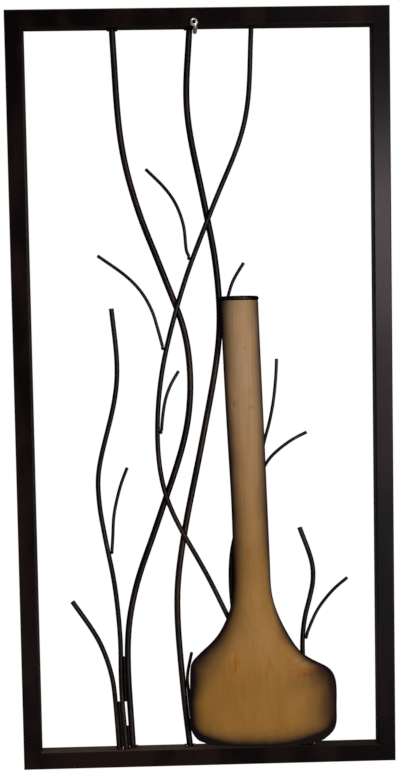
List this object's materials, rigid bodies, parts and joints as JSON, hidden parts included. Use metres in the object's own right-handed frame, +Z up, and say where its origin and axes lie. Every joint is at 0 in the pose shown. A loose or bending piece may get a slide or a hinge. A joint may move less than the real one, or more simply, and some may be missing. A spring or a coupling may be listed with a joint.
{
  "type": "framed metal wall vase",
  "caption": "Tall framed metal wall vase: half-round sheet vase with a long neck, set among bent-rod branches in a frame of square tube, with a sliding split-pin hanger.",
  "frame": {"origin": "on the back face of the bottom rail, at the middle of its length and height, where the frame bears on the wall", "axes": "+X to the right seen from the front, +Y into the wall, +Z up along the tall side of the frame"},
  "size_m": [0.4064, 0.0541, 0.8128],
  "materials": {
    "dark_iron": "near-black dark bronze paint, satin, rubbed to copper brown on edges and welds",
    "bronze_sheet": "tan to ochre brown paint, satin, darker along the edges",
    "zinc_wire": "bright zinc-plated wire"
  },
  "bodies": {
    "frame": {"top_rail": "dark_iron", "bottom_rail": "dark_iron", "left_rail": "dark_iron", "right_rail": "dark_iron", "left_branch": "dark_iron", "middle_branch": "dark_iron", "right_branch": "dark_iron", "left_shoot": "dark_iron", "low_shoot": "dark_iron", "right_shoot": "dark_iron", "neck_stem": "dark_iron", "twig_upper_left": "dark_iron", "twig_far_left": "dark_iron", "twig_inner": "dark_iron", "twig_mouth": "dark_iron", "twig_neck_top": "dark_iron", "twig_neck_low": "dark_iron", "twig_left_shoot": "dark_iron", "twig_right_shoot": "dark_iron", "twig_foot": "dark_iron", "vase_shell": "bronze_sheet", "vase_back": "bronze_sheet", "vase_rim": "dark_iron", "foot_welds": "dark_iron", "head_welds": "dark_iron", "twig_welds": "dark_iron", "vase_welds": "dark_iron"},
    "hanger": {"hanger": "zinc_wire"}
  },
  "joints": [
    {"name": "hanger_slide", "type": "slide", "parent": "frame", "child": "hanger", "axis": [1, 0, 0], "range_m": [0, 0.054]}
  ]
}
